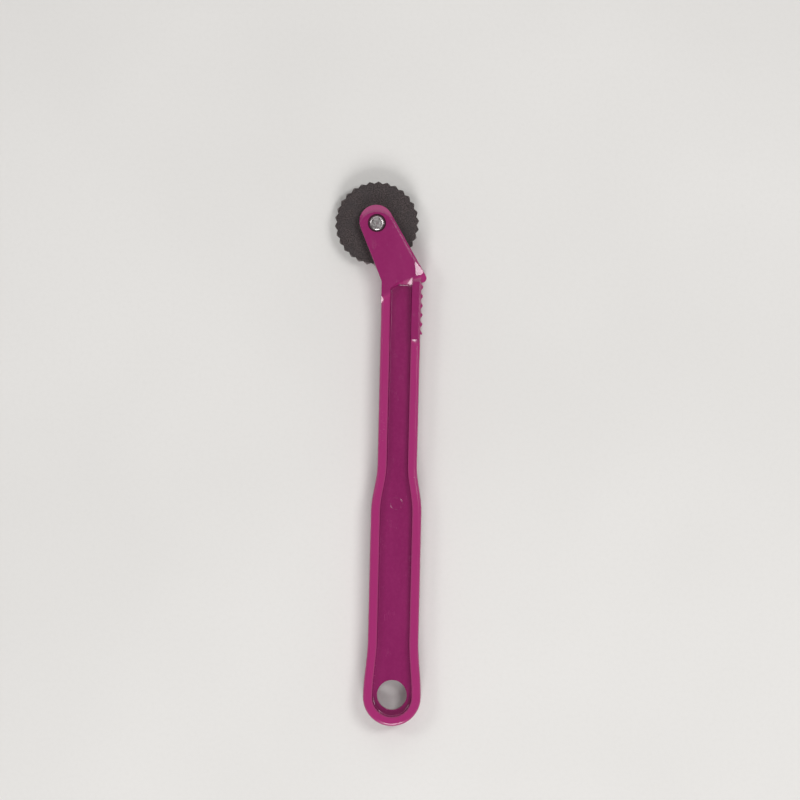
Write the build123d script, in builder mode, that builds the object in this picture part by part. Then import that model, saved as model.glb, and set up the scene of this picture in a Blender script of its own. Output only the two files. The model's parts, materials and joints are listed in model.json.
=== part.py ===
from build123d import *
import os
from math import cos, pi, radians, sin, tan

# Tracing wheel: a toothed steel disc that turns on a rivet in the fork of a moulded
# plastic handle. Millimetres. The tool lies flat: +Y points along the handle towards
# the wheel, +X points to the finger rest's side, +Z is up through the thickness, and
# the origin is the middle of the whole outline on the surface that it lies on.

os.makedirs("parts", exist_ok=True)

# Thickness, shared by every piece
head_thickness = 8.0            # fork head and finger rest, face to face
rim_thickness = 7.0             # rims of the grip
web_thickness = 2.4             # floor between the two recesses

# Grip outline, measured across from the handle's axis and along from its round end
end_radius = 8.1                # round end with the hang hole
wide_half_width = 7.1           # lower grip, held in the palm
narrow_half_width = 5.55        # upper grip, held by the fingers
end_flare_top = 24.0            # the round end has narrowed to the lower grip here
shoulder_bottom = 59.5          # the lower grip starts to narrow here
shoulder_top = 73.0             # the upper grip is straight from here
edge_round = 0.9                # rounding of the grip's outer edges

# Recess, the same on both faces
rim_width = 2.5                 # wall left between recess and outer edge
recess_draft = 0.2              # the floor is this much smaller all round
rim_chamfer = 0.25              # bevel round the recess's mouth
floor_round = 0.3               # rounding round its floor
recess_left_top = 121.95
recess_peak = (-0.7, 123.3)
recess_right_top = 123.2
end_facet_depth = 1.1           # the upper end slopes back over this depth
end_facet_run = 2.0             # by this much at the right, and less at the peak
hang_hole_radius = 4.15
hang_hole_height = 8.6

# Fork head, which leans away from the grip's axis
axle_offset = 7.25              # axle to the handle's axis
axle_height = 140.25            # axle to the handle's round end, along the axis
head_lean = 26.0                # degrees
tip_radius = 4.7
tip_overhang = 0.45             # the tip's arc is centred this far past the axle
elbow_radius = 1.25
elbow = (5.7, 125.2)            # centre of the outer elbow's arc
neck_left = 124.0               # the head's inner edge leaves the grip here
grip_top = 124.8                # the grip runs on this far inside the head
bevel_angle = 23.5              # slope of the bevel that falls away from the plateau
plateau_arch_radius = 5.2
plateau_arch_drop = 2.1         # the plateau's arch is centred this far below the axle
crease_left = (-5.5, 120.5)     # the plateau ends on the line between these two
crease_right = (4.75, 126.9)
corner_top = (3.6, 129.6)       # a shallow facet takes off the plateau's corner, right
corner_bottom = (3.85, 126.9)   # of the line between these two
corner_slope = 8.5              # degrees
crease_round = 0.5
plateau_round = 1.0             # radius that the plateau's turned edge follows
head_edge_round = 0.35          # rounding down the head's inner side

# Finger rest, a raised ridged pad beside the head
rest_bottom = 108.0
rest_top = 124.2
rest_height = 1.2               # depth over which the pad's ends slope outwards
rest_inner_slope = 0.8          # run of the lower end per mm of depth, beside the recess
rest_outer_slope = 4.5          # the same at the outer edge
rest_top_slope = 2.5            # and across the upper end
ridge_top = 125.3               # the elbow stands for the ridge here
ridge_count = 6                 # and these follow below it
ridge_pitch = 2.6
ridge_height = 0.5
ridge_crest = 0.5               # flat top of each ridge
ridge_reach = 3.2               # the ridges' half length through the thickness
rest_round = 0.5                # rounding of the pad's outer edge

# Toothed wheel and the slot that it turns in
wheel_radius = 11.75
wheel_thickness = 1.4
tooth_count = 30
tooth_depth = 0.6
tooth_flat = 0.16               # blunt tip of each tooth
tooth_phase = 5.0               # degrees from +X to the nearest tooth, at rest
rim_bevel_width = 0.6
rim_bevel_depth = 0.4
wheel_clearance = 0.9           # rim of the wheel to the bottom of the slot
slot_width = 2.1
boss_radius = 3.3               # spacer bosses that centre the wheel in the slot
boss_gap = 0.1                  # left between each boss and the wheel

# Two-part rivet
barrel_radius = 1.5
running_clearance = 0.05
pin_radius = 1.1
press_interference = 0.005
rivet_head_radius = 2.25
rivet_head_height = 1.1
rivet_dimple_radius = 1.3
rivet_dimple_depth = 0.12
counterbore_radius = 2.55
counterbore_depth = 1.25
pin_end_gap = 0.4               # left between the pin's end and the socket's blind end
barrel_gap = 0.05               # left between the barrel's open end and the pin's head

# Places worked out from the dimensions above
overall_length = axle_height + wheel_radius
overall_width = axle_offset + wheel_radius + end_radius
axis_x = overall_width / 2 - end_radius
end_y = -overall_length / 2
mid_z = head_thickness / 2
axle_x = axis_x - axle_offset
axle_y = end_y + axle_height
rim_half = rim_thickness / 2
web_half = web_thickness / 2
slot_half = slot_width / 2
wheel_half = wheel_thickness / 2
counterbore_floor = mid_z - counterbore_depth   # height above the middle plane

# The handle is symmetric about this plane. Its x runs across the grip and its y along it.
mid_plane = Plane(origin=(axis_x, end_y, mid_z))
axle_plane = Plane(origin=(axle_x, axle_y, mid_z))
axle = (-axle_offset, axle_height)
tip = (
    axle[0] - tip_overhang * sin(radians(head_lean)),
    axle[1] + tip_overhang * cos(radians(head_lean)),
)


def grip_outline(height, inset, left_top, peak, right_top):
    """Grip outline at a height above the middle plane, inset from the outer edge."""
    narrow = narrow_half_width - inset
    wide = wide_half_width - inset
    end_arc = end_radius - inset
    along = (0, 1)
    with BuildSketch(mid_plane.offset(height)) as outline:
        with BuildLine():
            CenterArc((0, end_radius), end_arc, 180, 180)
            for side, top in ((-1, left_top), (1, right_top)):
                flare = Spline(
                    (side * end_arc, end_radius),
                    (side * wide, end_flare_top),
                    tangents=(along, along),
                )
                Line(flare @ 1, (side * wide, shoulder_bottom))
                shoulder = Spline(
                    (side * wide, shoulder_bottom),
                    (side * narrow, shoulder_top),
                    tangents=(along, along),
                )
                Line(shoulder @ 1, (side * narrow, top))
                Line((side * narrow, top), peak)
        make_face()
    return outline.sketch


def recess_outline(height, widen):
    """Outline of the recess at a height above the middle plane, widened all round."""
    draft = recess_draft * (height - web_half) / (mid_z - web_half) + widen
    run = end_facet_run * max(0, 1 - (mid_z - height) / end_facet_depth) + draft
    peak = (recess_peak[0], recess_peak[1] + run / 3)
    inset = rim_width + recess_draft - draft
    return grip_outline(height, inset, recess_left_top + draft, peak, recess_right_top + run)


def head_outline():
    """Outline of the fork head on the middle plane: tip, outer elbow and neck."""
    with BuildSketch(mid_plane) as outline:
        with Locations(tip):
            Circle(tip_radius)
        with Locations(elbow):
            Circle(elbow_radius)
        with BuildLine():
            Line((-narrow_half_width, neck_left), (narrow_half_width, neck_left))
        make_hull()
        with Locations((0, neck_left)):
            foot = neck_left - crease_left[1] + rim_width
            Rectangle(2 * narrow_half_width, foot, align=(Align.CENTER, Align.MAX))
    return outline.sketch


def plateau_outline(height, grow):
    """The head's flat plateau, or its bevel where it has grown by this much."""
    arch_centre = (axle[0], axle[1] - plateau_arch_drop)
    with BuildSketch(mid_plane.offset(height)) as outline:
        with Locations(arch_centre):
            Circle(plateau_arch_radius + grow)
        for centre in (crease_left, crease_right):
            with Locations(centre):
                Circle(crease_round + grow)
        make_hull()
    return outline.sketch


def rest_outline(depth):
    """The finger rest's pad at a depth below its face: its two ends slope outwards.
    Its inner side stands past the rim, and the recess trims it flush."""
    inner = narrow_half_width - rim_width - recess_draft
    with BuildSketch(mid_plane.offset(mid_z - depth)) as outline:
        with BuildLine():
            Polyline(
                (inner, rest_bottom - depth * rest_inner_slope),
                (narrow_half_width, rest_bottom - depth * rest_outer_slope),
                (narrow_half_width, rest_top + depth * rest_top_slope),
                (inner, rest_top + depth * rest_top_slope),
                close=True,
            )
        make_face()
    return outline.sketch


# Recess in one face of the grip: its walls lean outwards a little, and its upper end
# opens into a facet that is widest at the right.
with BuildPart() as recess:
    sections = [recess_outline(height, 0) for height in (web_half, mid_z - end_facet_depth, mid_z)]
    loft(sections, ruled=True)

# Grip: rounded outside, and bevelled where the recess will open through its rims.
with BuildPart() as grip:
    extrude(grip_outline(0, 0, grip_top, (0, grip_top), grip_top), amount=rim_half)
    fillet(grip.edges().group_by(Axis.Z)[-1], radius=edge_round)
    bevel_foot = recess_outline(rim_half - rim_chamfer, 0)
    loft([bevel_foot, recess_outline(rim_half, rim_chamfer)], ruled=True, mode=Mode.SUBTRACT)

# Finger rest: a pad that stands a little above the rim, with ridges down its outer side.
ridge_bottom = ridge_top - ridge_count * ridge_pitch - ridge_crest / 2
scallop_chord = ridge_pitch - ridge_crest
scallop_radius = (scallop_chord**2 / 4 + ridge_height**2) / (2 * ridge_height)
first_scallop = ridge_top - ridge_pitch / 2
last_scallop = first_scallop - (ridge_count - 1) * ridge_pitch
rest_foot = rest_outline(rest_height)
with BuildPart() as finger_rest:
    loft([rest_foot, rest_outline(0)], ruled=True)
    extrude(rest_foot, amount=rest_height - mid_z)
    long_edges = finger_rest.faces().sort_by(Axis.Z)[-1].edges().filter_by(Axis.Y)
    fillet(long_edges.sort_by(Axis.X)[-1], radius=rest_round)
    with BuildSketch(mid_plane):
        with Locations((narrow_half_width, (elbow[1] + ridge_bottom) / 2)):
            Rectangle(2 * ridge_height, elbow[1] - ridge_bottom)
        with Locations((narrow_half_width + scallop_radius, (first_scallop + last_scallop) / 2)):
            with GridLocations(0, ridge_pitch, 1, ridge_count):
                Circle(scallop_radius, mode=Mode.SUBTRACT)
    extrude(amount=ridge_reach)

# Fork head: its flat plateau turns over in two narrow steps and falls away in a bevel,
# widest round the tip.
bevel_run = mid_z / tan(radians(bevel_angle))
corner_line = Axis((0, 0, 0), Vector(*corner_top) - Vector(*corner_bottom))
corner_normal = Vector(0, 0, 1).rotate(corner_line, corner_slope)
corner_foot = mid_plane.from_local_coords((*corner_top, mid_z))
with BuildPart() as fork_head:
    extrude(head_outline(), amount=mid_z)
    sections = [plateau_outline(0, bevel_run)]
    for slope in (radians(bevel_angle), radians(bevel_angle / 2), 0):
        drop = plateau_round * (1 - cos(slope))
        grow = plateau_round * (sin(slope) - tan(radians(bevel_angle / 2)))
        sections.append(plateau_outline(mid_z - drop, grow))
    loft(sections, ruled=True, mode=Mode.INTERSECT)
    split(bisect_by=Plane(origin=corner_foot, z_dir=corner_normal), keep=Keep.BOTTOM)
    sides = fork_head.faces().filter_by(lambda face: abs(face.normal_at().Z) < 0.01)
    upper_edges = sides.edges().filter_by_position(Axis.Z, mid_z + rim_half / 2, head_thickness)
    fillet(upper_edges.sort_by(SortBy.LENGTH)[-1], radius=head_edge_round)

# Handle: one moulding of grip, finger rest and fork head, recessed, with the hang hole
# through its web and a slot for the wheel. Its upper half is built above the middle
# plane and then mirrored below it.
with BuildPart() as handle:
    add(grip.part)
    add(finger_rest.part)
    add(fork_head.part)
    add(recess.part, mode=Mode.SUBTRACT)
    recess_floor = handle.faces().filter_by_position(Axis.Z, mid_z + web_half, mid_z + web_half)
    fillet(recess_floor.edges(), radius=floor_round)
    with BuildSketch(mid_plane):
        with Locations((0, hang_hole_height)):
            Circle(hang_hole_radius)
    extrude(amount=web_half, mode=Mode.SUBTRACT)
    with BuildSketch(axle_plane):
        Circle(wheel_radius + wheel_clearance)
    extrude(amount=slot_half, mode=Mode.SUBTRACT)
    with BuildSketch(axle_plane.offset(wheel_half + boss_gap)):
        Circle(boss_radius)
    extrude(amount=slot_half - wheel_half - boss_gap)
    with BuildSketch(axle_plane):
        Circle(barrel_radius)
    extrude(amount=mid_z, mode=Mode.SUBTRACT)
    with BuildSketch(axle_plane.offset(counterbore_floor)):
        Circle(counterbore_radius)
    extrude(amount=counterbore_depth, mode=Mode.SUBTRACT)
    mirror(about=mid_plane)
handle.part.label = "handle"
export_step(handle.part, "parts/handle.step")

# Toothed wheel: a flat disc, bevelled at the rim and notched all round.
axle_axis = Axis((axle_x, axle_y, mid_z), (0, 0, 1))
axle_section = Plane(origin=(axle_x, axle_y, mid_z), x_dir=(1, 0, 0), z_dir=(0, -1, 0))
bore_radius = barrel_radius + running_clearance
tooth_pitch = 2 * pi * wheel_radius / tooth_count
notch_depth = 2 * tooth_depth
notch_width = 2 * (tooth_pitch - tooth_flat)
with BuildPart() as serrated_wheel:
    with BuildSketch(axle_section):
        with BuildLine():
            edge_half = wheel_half - rim_bevel_depth
            Polyline(
                (bore_radius, -wheel_half),
                (wheel_radius - rim_bevel_width, -wheel_half),
                (wheel_radius, -edge_half),
                (wheel_radius, edge_half),
                (wheel_radius - rim_bevel_width, wheel_half),
                (bore_radius, wheel_half),
                close=True,
            )
        make_face()
    revolve(axis=axle_axis)
    with BuildSketch(axle_plane.offset(-wheel_half)):
        first_notch = tooth_phase + 180 / tooth_count
        with PolarLocations(wheel_radius - tooth_depth, tooth_count, start_angle=first_notch):
            Polygon(
                (0, 0),
                (notch_depth, -notch_width / 2),
                (notch_depth, notch_width / 2),
                align=None,
            )
    extrude(amount=wheel_thickness, mode=Mode.SUBTRACT)
serrated_wheel.part.label = "serrated_wheel"
export_step(serrated_wheel.part, "parts/serrated_wheel.step")

# Rivet: both halves have the same low domed head, sunk in its counterbore.
head_top = counterbore_floor + rivet_head_height
shoulder_radius = rivet_dimple_radius + rivet_dimple_depth
with BuildPart() as rivet_head:
    with BuildSketch(axle_section):
        with BuildLine():
            Polyline(
                (0, counterbore_floor),
                (rivet_head_radius, counterbore_floor),
                (rivet_head_radius, counterbore_floor + rivet_head_height / 3),
            )
            EllipticalCenterArc(
                (shoulder_radius, counterbore_floor + rivet_head_height / 3),
                rivet_head_radius - shoulder_radius,
                rivet_head_height * 2 / 3,
                start_angle=0,
                arc_size=90,
            )
            Polyline(
                (shoulder_radius, head_top),
                (rivet_dimple_radius, head_top - rivet_dimple_depth),
                (0, head_top - rivet_dimple_depth),
                (0, counterbore_floor),
            )
        make_face()
    revolve(axis=axle_axis)

# Rivet's barrel half: its tube passes through both ears and carries the wheel.
barrel_end = counterbore_floor - barrel_gap
with BuildPart() as rivet_socket:
    mirror(rivet_head.part, about=mid_plane)
    with BuildSketch(axle_plane.offset(-counterbore_floor)):
        Circle(barrel_radius)
        Circle(pin_radius - press_interference, mode=Mode.SUBTRACT)
    extrude(amount=counterbore_floor + barrel_end)
rivet_socket.part.label = "rivet_socket"
export_step(rivet_socket.part, "parts/rivet_socket.step")

# Rivet's pin half, pressed into the barrel from the other face.
with BuildPart() as rivet_pin:
    add(rivet_head.part)
    with BuildSketch(axle_plane.offset(counterbore_floor)):
        Circle(pin_radius)
    extrude(amount=pin_end_gap - 2 * counterbore_floor)
rivet_pin.part.label = "rivet_pin"
export_step(rivet_pin.part, "parts/rivet_pin.step")
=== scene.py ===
import json
from math import cos, pi, radians, sin

import bpy
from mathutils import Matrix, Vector


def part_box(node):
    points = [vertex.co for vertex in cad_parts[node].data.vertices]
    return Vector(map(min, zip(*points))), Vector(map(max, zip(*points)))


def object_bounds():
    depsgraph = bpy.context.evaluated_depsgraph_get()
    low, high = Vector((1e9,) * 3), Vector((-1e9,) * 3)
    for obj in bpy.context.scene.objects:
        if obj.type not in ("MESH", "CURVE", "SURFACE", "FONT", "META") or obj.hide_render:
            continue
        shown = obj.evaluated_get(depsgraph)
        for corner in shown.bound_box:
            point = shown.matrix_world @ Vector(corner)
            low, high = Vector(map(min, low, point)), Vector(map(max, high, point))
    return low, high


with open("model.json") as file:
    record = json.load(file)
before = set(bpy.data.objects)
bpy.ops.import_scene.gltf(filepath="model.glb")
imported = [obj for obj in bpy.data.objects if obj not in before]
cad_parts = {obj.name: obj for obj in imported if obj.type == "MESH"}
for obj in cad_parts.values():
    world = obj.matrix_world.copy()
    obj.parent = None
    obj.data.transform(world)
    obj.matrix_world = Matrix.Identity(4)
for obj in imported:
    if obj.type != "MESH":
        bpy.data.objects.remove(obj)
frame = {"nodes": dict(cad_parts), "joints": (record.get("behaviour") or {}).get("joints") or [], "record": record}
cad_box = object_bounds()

# Tracing wheel lying on a pale table: a magenta moulded handle, a black-oxide toothed
# wheel and a plated rivet. All shapes are the CAD nodes; this script gives them their
# surfaces, light and camera. Lengths are in metres, and in millimetres inside materials.

MM = 0.001

low, high = cad_box
middle = (low + high) / 2
axle = Vector(frame["joints"][0]["pos_m"])
mounts = {mount["name"]: mount for mount in frame["record"]["mounts"]}
hang_hole = Vector(mounts["hang_hole"]["pos_m"])


def half_size(node, axis):
    """Half of a CAD node's size along an axis, in millimetres."""
    lowest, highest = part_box(node)
    return (highest[axis] - lowest[axis]) / 2 / MM


wheel_radius = half_size("serrated_wheel", 1)
half_thickness = half_size("handle", 2)


# ---------------------------------------------------------------- material building

class Surface:
    """A node material round one Principled shader. Its patterns are laid in millimetres
    about a point of the object, so that they turn with the piece that wears them."""

    def __init__(self, name, origin, **sockets):
        self.material = bpy.data.materials.new(name)
        self.material.use_nodes = True
        self.tree = self.material.node_tree
        self.shader = self.tree.nodes["Principled BSDF"]
        for socket, value in sockets.items():
            self.shader.inputs[socket.replace("_", " ")].default_value = value
        here = self.add("TexCoord").outputs["Object"]
        offset = self.vector("SUBTRACT", here, origin)
        self.place = self.vector("SCALE", offset, scale=1 / MM)
        split = self.add("SeparateXYZ")
        self.feed(split.inputs[0], self.place)
        self.z = split.outputs["Z"]

    def add(self, kind, **settings):
        made = self.tree.nodes.new("ShaderNode" + kind)
        for name, value in settings.items():
            setattr(made, name, value)
        return made

    def feed(self, socket, value):
        """Links an output to a socket, or sets the socket to a plain value."""
        if isinstance(value, bpy.types.NodeSocket):
            self.tree.links.new(value, socket)
        else:
            socket.default_value = value

    def vector(self, operation, first, second=None, scale=None):
        made = self.add("VectorMath", operation=operation)
        self.feed(made.inputs[0], first)
        if second is not None:
            self.feed(made.inputs[1], second)
        if scale is not None:
            made.inputs["Scale"].default_value = scale
        return made.outputs["Value" if operation == "LENGTH" else "Vector"]

    def math(self, operation, *values):
        made = self.add("Math", operation=operation)
        for socket, value in zip(made.inputs, values):
            self.feed(socket, value)
        return made.outputs[0]

    def span(self, value, start, end, first=0.0, last=1.0):
        """Maps a value from start..end to first..last, held at both ends."""
        made = self.add("MapRange", interpolation_type="SMOOTHSTEP")
        for name, part in (
            ("Value", value),
            ("From Min", start),
            ("From Max", end),
            ("To Min", first),
            ("To Max", last),
        ):
            self.feed(made.inputs[name], part)
        return made.outputs["Result"]

    def line(self, value, at, width):
        """1 where a value is at a level, fading to 0 at this far from it."""
        return self.span(self.math("ABSOLUTE", self.math("SUBTRACT", value, at)), 0, width, 1, 0)

    def radius(self, centre=(0, 0, 0)):
        """Distance in plan from an upright line through a point."""
        offset = self.vector("SUBTRACT", self.place, centre)
        return self.vector("LENGTH", self.vector("MULTIPLY", offset, (1, 1, 0)))

    def total(self, *values):
        sum_so_far = values[0]
        for value in values[1:]:
            sum_so_far = self.math("ADD", sum_so_far, value)
        return sum_so_far

    def stretched(self, factors, turn=0.0):
        """The place, turned about Z and then scaled along each axis."""
        made = self.add("Mapping")
        self.feed(made.inputs["Vector"], self.place)
        made.inputs["Rotation"].default_value = (0, 0, radians(turn))
        made.inputs["Scale"].default_value = factors
        return made.outputs["Vector"]

    def noise(self, scale, detail=2.0, at=None, distortion=0.0):
        """Soft noise from 0 to 1, with about scale cells in a millimetre."""
        made = self.add("TexNoise")
        self.feed(made.inputs["Vector"], self.place if at is None else at)
        made.inputs["Scale"].default_value = scale
        made.inputs["Detail"].default_value = detail
        made.inputs["Distortion"].default_value = distortion
        return made.outputs["Fac"]

    def specks(self, spacing, size, share):
        """Small round dots, one in some of the cells of a random grid."""
        made = self.add("TexVoronoi")
        self.feed(made.inputs["Vector"], self.place)
        made.inputs["Scale"].default_value = 1 / spacing
        split = self.add("SeparateColor")
        self.feed(split.inputs[0], made.outputs["Color"])
        chosen = self.math("GREATER_THAN", split.outputs[0], 1 - share)
        reach = self.math("MULTIPLY", split.outputs[1], size / spacing)
        near = self.math("SUBTRACT", reach, made.outputs["Distance"])
        dot = self.span(near, 0, size / spacing / 4)
        return self.math("MULTIPLY", dot, chosen)

    def scratches(self, turn, across, share):
        """Fine broken lines that run at an angle to +Y."""
        lines = self.noise(1.0, 1.0, self.stretched((across, across / 60, across), turn))
        patches = self.noise(0.25, 1.0, self.stretched((1, 1, 1), turn + 40))
        broken = self.span(patches, 1 - share, 1.1 - share)
        return self.math("MULTIPLY", self.line(lines, 0.5, 0.012), broken)

    def mix(self, factor, first, second):
        """A colour between two others."""
        made = self.add("Mix", data_type="RGBA")
        self.feed(made.inputs[0], factor)
        for socket, value in ((made.inputs[6], first), (made.inputs[7], second)):
            self.feed(socket, (*value, 1) if isinstance(value, tuple) else value)
        return made.outputs[2]

    def bump(self, height, depth, under=None):
        """Raises the surface by depth millimetres where the height is 1."""
        made = self.add("Bump")
        self.feed(made.inputs["Height"], height)
        made.inputs["Distance"].default_value = depth * MM
        if under is not None:
            self.feed(made.inputs["Normal"], under)
        return made.outputs["Normal"]

    def finish(self, colour, roughness, normal, metallic=None):
        self.feed(self.shader.inputs["Base Color"], colour)
        self.feed(self.shader.inputs["Roughness"], roughness)
        self.feed(self.shader.inputs["Normal"], normal)
        if metallic is not None:
            self.feed(self.shader.inputs["Metallic"], metallic)
        return self.material


# ---------------------------------------------------------------- the three finishes

def moulded_plastic():
    """Glossy magenta plastic: flow marks along the grip, fine mould grain, an ejector mark in
    the recess, handling scratches and a few pale specks. Painted light: the rims are painted
    lighter than the recess and a little lighter than the plateau, for the light that the rims
    catch and the shade in the recess; a painted shade ring round the rivet stands in for the
    shadow in its counterbore."""
    s = Surface("moulded_magenta", hang_hole, IOR=1.5, Coat_Weight=0.6, Coat_Roughness=0.06)
    flow = s.noise(0.16, 3, s.stretched((1, 0.22, 1)), distortion=0.6)
    mottle = s.noise(1.4, 4)
    grain = s.noise(7, 3)
    marks = s.total(s.scratches(8, 5, 0.36), s.scratches(-24, 6, 0.32), s.scratches(80, 5, 0.28))
    specks = s.specks(2.6, 0.26, 0.16)

    # Heights either side of the handle's middle plane, each just clear of a face
    height = s.math("ABSOLUTE", s.z)
    above_floor = half_thickness - 2.4
    below_rim = half_thickness - 0.6
    above_rim = half_thickness - 0.4
    below_plateau = half_thickness - 0.05
    # Painted light: 1 on the rims, 0.25 on the plateau, 0 on the recess walls and floor, so the rims are painted
    # lighter for the light they catch and the recess is left in painted shade.
    painted_rim_light = s.math(
        "MULTIPLY",
        s.span(height, above_floor, below_rim),
        s.span(height, above_rim, below_plateau, 1, 0.25),
    )

    ejector_place = (0, 53.5, 0)
    ejector_radius = 1.7
    ejector_ring = s.line(s.radius(ejector_place), ejector_radius, 0.16)
    ejector = s.math("MULTIPLY", ejector_ring, s.math("LESS_THAN", height, above_floor))

    # Painted shade: a dark ring in the plastic round the axle, off the plateau, standing in for the shadow in the
    # counterbore round the rivet head.
    counterbore_shade_radius = 2.5
    from_axle = s.radius((axle - hang_hole) / MM)
    off_plateau = s.math("LESS_THAN", height, half_thickness - 0.01)
    counterbore_shade = s.math(
        "MULTIPLY",
        s.span(from_axle, counterbore_shade_radius, counterbore_shade_radius + 0.25, 1, 0),
        off_plateau,
    )

    colour = s.mix(s.span(flow, 0.3, 0.7), (0.215, 0.004, 0.088), (0.240, 0.006, 0.100))
    # Painted light: rims lighter than the recess and the plateau.
    colour = s.mix(painted_rim_light, colour, (0.345, 0.017, 0.140))
    colour = s.mix(s.span(mottle, 0.35, 0.75, 0, 0.14), colour, (0.34, 0.014, 0.145))
    colour = s.mix(s.math("MULTIPLY", marks, 0.22), colour, (0.55, 0.09, 0.30))
    colour = s.mix(s.math("MULTIPLY", specks, 0.55), colour, (0.68, 0.22, 0.42))
    # Painted shade round the rivet, for the counterbore's shadow.
    colour = s.mix(s.math("MULTIPLY", counterbore_shade, 0.5), colour, (0.05, 0.003, 0.02))
    roughness = s.total(
        s.span(mottle, 0.3, 0.7, 0.17, 0.25),
        s.span(flow, 0.3, 0.7, -0.02, 0.03),
        s.math("MULTIPLY", marks, 0.18),
        s.math("MULTIPLY", specks, 0.3),
    )
    normal = s.bump(mottle, 0.008)
    normal = s.bump(grain, 0.002, normal)
    normal = s.bump(s.math("MULTIPLY", marks, -1.0), 0.006, normal)
    normal = s.bump(ejector, 0.03, normal)
    return s.finish(colour, roughness, normal)


def black_oxide():
    """Blackened stamped steel: a grainy, slightly brown flat, rubbed bright on the teeth,
    along the bevel and by the fork's bosses, with fine rolling marks in one direction."""
    s = Surface("black_oxide_steel", axle)
    radius = s.radius()
    grain = s.noise(3, 5)
    cloud = s.noise(0.35, 3)
    rolled = s.noise(1.0, 2, s.stretched((14, 0.4, 14), 35))
    marks = s.total(s.scratches(20, 4, 0.45), s.scratches(-50, 5, 0.4))
    near_rim = s.span(radius, wheel_radius - 0.5, wheel_radius)
    wear = s.math("MULTIPLY", near_rim, s.span(s.noise(1.6, 3), 0.35, 0.62, 0.15, 1))
    boss_edge = 3.4
    near_boss = s.span(radius, boss_edge + 1.2, boss_edge)
    rubbed = s.math("MULTIPLY", near_boss, s.span(cloud, 0.4, 0.6, 0.1, 0.5))

    colour = s.mix(s.span(grain, 0.36, 0.66), (0.024, 0.018, 0.018), (0.084, 0.064, 0.064))
    colour = s.mix(s.span(cloud, 0.35, 0.7, 0, 0.5), colour, (0.04, 0.034, 0.036))
    colour = s.mix(s.math("MULTIPLY", marks, 0.3), colour, (0.15, 0.13, 0.13))
    colour = s.mix(s.math("MULTIPLY", rubbed, 0.5), colour, (0.16, 0.15, 0.15))
    colour = s.mix(s.math("MULTIPLY", wear, 0.75), colour, (0.36, 0.32, 0.31))
    roughness = s.total(
        s.span(grain, 0.3, 0.7, 0.40, 0.56),
        s.span(rolled, 0.3, 0.7, -0.05, 0.05),
        s.math("MULTIPLY", wear, -0.12),
    )
    metallic = s.span(wear, 0, 1, 0.5, 0.3)
    normal = s.bump(grain, 0.012)
    normal = s.bump(rolled, 0.003, normal)
    normal = s.bump(s.math("MULTIPLY", marks, -1.0), 0.004, normal)
    return s.finish(colour, roughness, normal, metallic)


def plated_rivet():
    """Nickel-plated steel: a scuffed dimple with a small dark scar, faint turned rings, a
    darker line along the dimple's edge, and painted shade round the head's edge for the
    shadow in the counterbore."""
    s = Surface("plated_rivet_steel", axle)
    radius = s.radius()
    dimple_edge = 1.36
    head_edge = 1.95
    cloud = s.noise(1.4, 4)
    fine = s.noise(12, 3)
    turned = s.add("TexWave", wave_type="RINGS", rings_direction="Z")
    s.feed(turned.inputs["Vector"], s.place)
    turned.inputs["Scale"].default_value = 2.4
    turned.inputs["Distortion"].default_value = 1.2
    marks = s.total(s.scratches(30, 9, 0.5), s.scratches(-42, 8, 0.5))
    scar_at = s.stretched((1, 0.32, 0), -28)
    scar = s.span(s.vector("LENGTH", scar_at), 0.1, 0.3, 1, 0)
    corner = s.line(radius, dimple_edge, 0.14)
    scar_and_dimple_line = s.math("MULTIPLY", s.math("MAXIMUM", scar, corner), s.span(cloud, 0.25, 0.6, 0.45, 1))
    # Painted shade: darker outward of the head's edge, for the shadow in the counterbore gap round the head;
    # joined with the scar and the darker line along the dimple's edge.
    dark_marks_and_shade = s.math("MAXIMUM", scar_and_dimple_line, s.span(radius, head_edge, head_edge + 0.2, 0, 0.75))

    colour = s.mix(s.span(cloud, 0.3, 0.7), (0.36, 0.335, 0.335), (0.50, 0.47, 0.47))
    colour = s.mix(s.math("MULTIPLY", marks, 0.35), colour, (0.75, 0.73, 0.72))
    # Scar, dimple-edge line and painted shade round the head's edge.
    colour = s.mix(s.math("MULTIPLY", dark_marks_and_shade, 0.85), colour, (0.11, 0.06, 0.075))
    roughness = s.total(
        s.span(cloud, 0.3, 0.7, 0.24, 0.38),
        s.math("MULTIPLY", marks, 0.12),
        s.math("MULTIPLY", dark_marks_and_shade, 0.3),
    )
    metallic = s.span(dark_marks_and_shade, 0, 1, 1.0, 0.4)
    normal = s.bump(cloud, 0.006)
    normal = s.bump(fine, 0.002, normal)
    normal = s.bump(turned.outputs["Fac"], 0.003, normal)
    return s.finish(colour, roughness, normal, metallic)


def table_top():
    """Plain pale table with a faint paper grain."""
    s = Surface("pale_table", Vector((0, 0, 0)))
    fibre = s.noise(0.9, 4)
    cloud = s.noise(0.01, 2)
    colour = s.mix(s.span(cloud, 0.3, 0.7), (0.72, 0.705, 0.685), (0.75, 0.735, 0.715))
    colour = s.mix(s.span(fibre, 0.4, 0.8, 0, 0.12), colour, (0.66, 0.645, 0.62))
    return s.finish(colour, s.span(fibre, 0.3, 0.7, 0.7, 0.85), s.bump(fibre, 0.02))


def coat(node, material):
    """Puts a material in every slot of a CAD node."""
    for slot in frame["nodes"][node].material_slots:
        slot.material = material


coat("handle", moulded_plastic())
coat("serrated_wheel", black_oxide())
rivet_finish = plated_rivet()
coat("rivet_pin", rivet_finish)
coat("rivet_socket", rivet_finish)


# ---------------------------------------------------------------- table

floor_mesh = bpy.data.meshes.new("table_top")
table_half = 1.5
table_height = -0.05 * MM       # just clear of the faces that the tool rests on
signs = ((-1, -1), (1, -1), (1, 1), (-1, 1))
corners = [(x * table_half, y * table_half, table_height) for x, y in signs]
floor_mesh.from_pydata(corners, [], [(0, 1, 2, 3)])
floor = bpy.data.objects.new("table_top", floor_mesh)
bpy.context.collection.objects.link(floor)
floor_mesh.materials.append(table_top())


# ---------------------------------------------------------------- light

softbox_distance = 0.8


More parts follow.
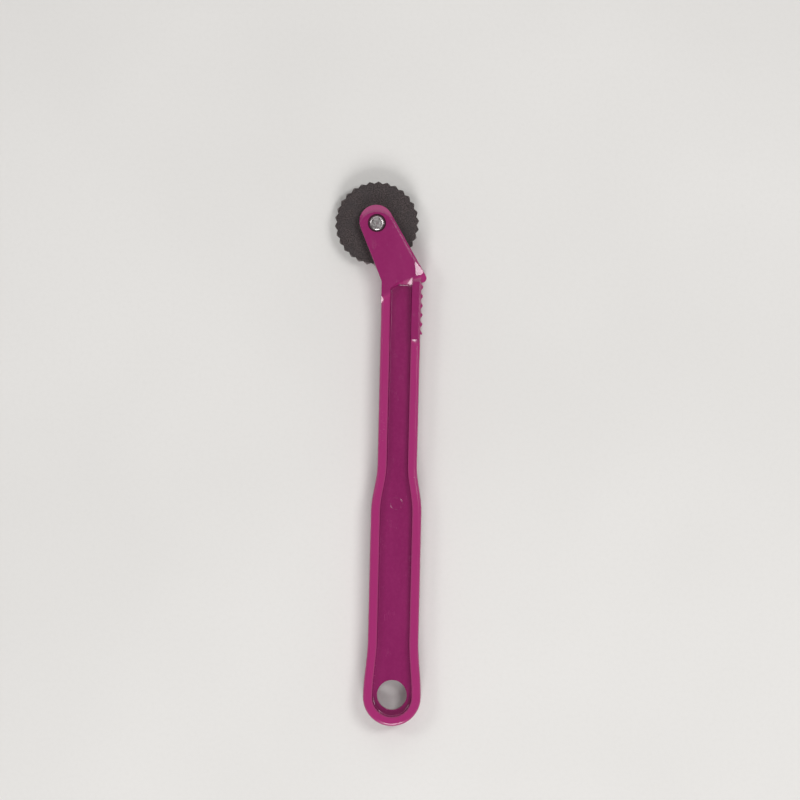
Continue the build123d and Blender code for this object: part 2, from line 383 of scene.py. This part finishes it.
def softbox(name, bearing, tilt, width, height, brightness):
    """A soft rectangular light that faces the tool. Bearing is in degrees from +X towards
    +Y, and tilt in degrees down from straight above. Brightness is how bright its face
    looks, so that a larger box gives more light but no brighter reflections."""
    data = bpy.data.lights.new(name, "AREA")
    data.shape = "RECTANGLE"
    data.size = width
    data.size_y = height
    data.energy = brightness * pi * width * height
    lamp = bpy.data.objects.new(name, data)
    bpy.context.collection.objects.link(lamp)
    way = Vector((
        sin(radians(tilt)) * cos(radians(bearing)),
        sin(radians(tilt)) * sin(radians(bearing)),
        cos(radians(tilt)),
    ))
    lamp.location = middle + way * softbox_distance
    lamp.rotation_euler = way.to_track_quat("Z", "Y").to_euler()


softbox("front_softbox", 272, 50, 0.34, 0.40, 8.5)
softbox("right_softbox", 27, 29, 0.16, 0.29, 13.0)
softbox("left_softbox", 156, 40, 0.18, 0.24, 6.5)
softbox("back_softbox", 90, 50, 0.90, 0.60, 0.8)

# The room is brighter round the horizon than overhead. Heights are sines of elevation.
horizon_height, horizon_strength = 0.2, 0.55
overhead_height, overhead_strength = 0.5, 0.2
world = bpy.data.worlds.new("studio")
bpy.context.scene.world = world
world.use_nodes = True
room = world.node_tree
background = room.nodes["Background"]
background.inputs["Color"].default_value = (1.0, 0.99, 0.98, 1)
direction = room.nodes.new("ShaderNodeTexCoord")
upward = room.nodes.new("ShaderNodeSeparateXYZ")
fade = room.nodes.new("ShaderNodeMapRange")
fade.interpolation_type = "SMOOTHSTEP"
for name, value in (
    ("From Min", horizon_height),
    ("From Max", overhead_height),
    ("To Min", horizon_strength),
    ("To Max", overhead_strength),
):
    fade.inputs[name].default_value = value
room.links.new(direction.outputs["Generated"], upward.inputs[0])
room.links.new(upward.outputs["Z"], fade.inputs["Value"])
room.links.new(fade.outputs["Result"], background.inputs["Strength"])


# ---------------------------------------------------------------- camera

camera_height = 1.0             # above the tool's upper face
seen_width = 0.223              # from side to side of the picture, level with that face
frame_centre = Vector((5.80 * MM, 15.06 * MM))      # the place in the picture's middle
roll = 1.343                    # the tool stands a little off the picture's vertical

camera_data = bpy.data.cameras.new("camera")
camera_data.sensor_width = 36
camera_data.lens = camera_data.sensor_width * camera_height / seen_width
camera_data.clip_end = 10
camera = bpy.data.objects.new("camera", camera_data)
camera.location = (*frame_centre, high.z + camera_height)
camera.rotation_euler = (0, 0, radians(roll))
bpy.context.collection.objects.link(camera)
bpy.context.scene.camera = camera
bpy.context.scene.view_settings.view_transform = "Standard"
